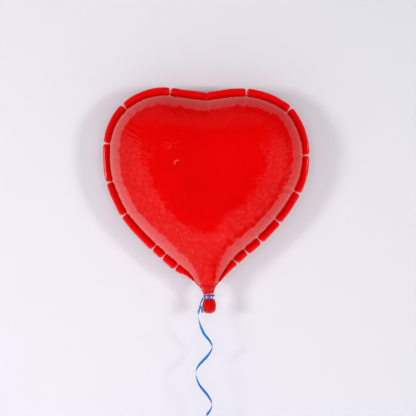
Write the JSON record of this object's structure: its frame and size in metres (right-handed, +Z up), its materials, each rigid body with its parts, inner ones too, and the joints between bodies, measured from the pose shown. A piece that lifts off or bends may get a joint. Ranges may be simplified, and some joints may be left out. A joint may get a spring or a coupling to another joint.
{
  "type": "heart-shaped foil balloon",
  "caption": "Inflated heart-shaped film balloon with a rim of puffed pockets, a tied neck with a small tail bulb, and a curling ribbon that hangs from the tie.",
  "frame": {"origin": "the back crown, the point of the back panel that touches the wall", "axes": "+Z up, from the tail to the lobes; -Y out of the front, away from the wall; +X to the right as seen from the front"},
  "size_m": [0.4121, 0.17, 0.7579],
  "materials": {
    "film": "high gloss red film",
    "rim_film": "high gloss red film, puffed and pinched",
    "valve_film": "thin milky valve film",
    "ribbon": "satin blue curling ribbon",
    "tie": "paper-covered twist tie"
  },
  "bodies": {
    "balloon": {"front_panel": "film", "back_panel": "film", "seam_weld": "film", "rim_pocket_left_1": "rim_film", "rim_pocket_left_2": "rim_film", "rim_pocket_left_3": "rim_film", "rim_pocket_left_4": "rim_film", "rim_pocket_left_5": "rim_film", "rim_pocket_left_6": "rim_film", "rim_pocket_left_7": "rim_film", "rim_pocket_left_8": "rim_film", "rim_pocket_left_9": "rim_film", "rim_pocket_right_1": "rim_film", "rim_pocket_right_2": "rim_film", "rim_pocket_right_3": "rim_film", "rim_pocket_right_4": "rim_film", "rim_pocket_right_5": "rim_film", "rim_pocket_right_6": "rim_film", "rim_pocket_right_7": "rim_film", "rim_pocket_right_8": "rim_film", "rim_pocket_right_9": "rim_film", "neck": "film", "tail_bulb": "film", "valve_film_front": "valve_film", "valve_film_back": "valve_film", "ribbon_wrap_lower": "ribbon", "ribbon_wrap_upper": "ribbon"},
    "ribbon_knotted": {"ribbon_lead": "ribbon"},
    "ribbon_hanging": {"ribbon_knot": "ribbon", "ribbon_end_left": "ribbon", "ribbon_end_right": "ribbon", "ribbon_tail": "ribbon", "ribbon_coil": "ribbon", "coil_tie": "tie"}
  },
  "joints": [
    {"name": "ribbon_side_swing", "type": "hinge", "parent": "balloon", "child": "ribbon_knotted", "pos_m": [-0.0095, -0.0885, -0.246], "axis": [0, 1, 0], "range_deg": [-3, 55]},
    {"name": "ribbon_front_back_swing", "type": "hinge", "parent": "ribbon_knotted", "child": "ribbon_hanging", "pos_m": [-0.0156, -0.09, -0.263], "axis": [1, 0, 0], "range_deg": [-55, 12]}
  ]
}
